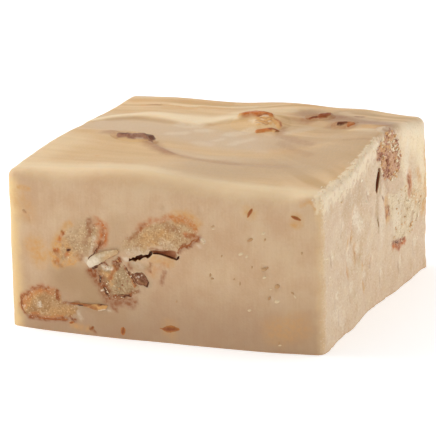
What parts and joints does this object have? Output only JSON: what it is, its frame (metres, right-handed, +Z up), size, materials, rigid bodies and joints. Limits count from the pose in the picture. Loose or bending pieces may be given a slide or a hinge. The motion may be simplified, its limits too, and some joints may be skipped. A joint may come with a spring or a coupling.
{
  "type": "maple walnut fudge",
  "caption": "Square-cut slab of creamy maple fudge with broken walnut kernels in its sides and folded top, a sweet eaten by hand.",
  "frame": {"origin": "middle of the footprint on the resting face", "axes": "+Z up, the front face looks along -Y, +X to the right as the front is looked at"},
  "size_m": [0.067, 0.0679, 0.035],
  "materials": {
    "fudge": "waxy cream-tan fudge, satin on the poured top and dull on the knife-cut sides",
    "walnut": "matt tan walnut flesh with a brown skin",
    "pale_walnut": "matt pale walnut flesh",
    "walnut_skin": "dull red-brown walnut skin"
  },
  "bodies": {
    "root": {"fudge_block": "fudge", "walnut_front_long": "walnut", "walnut_front_core": "walnut", "walnut_front_left": "walnut", "walnut_front_low": "walnut", "walnut_right_upper": "walnut", "walnut_back_low": "walnut", "walnut_back_high": "walnut", "walnut_left_middle": "walnut", "walnut_top_left": "walnut", "walnut_top_middle": "walnut", "walnut_top_back_left": "walnut", "walnut_top_back_right": "walnut", "walnut_shaving": "pale_walnut", "walnut_right_lower": "pale_walnut", "walnut_skin_curl": "walnut_skin", "walnut_skin_strip": "walnut_skin"}
  },
  "joints": []
}
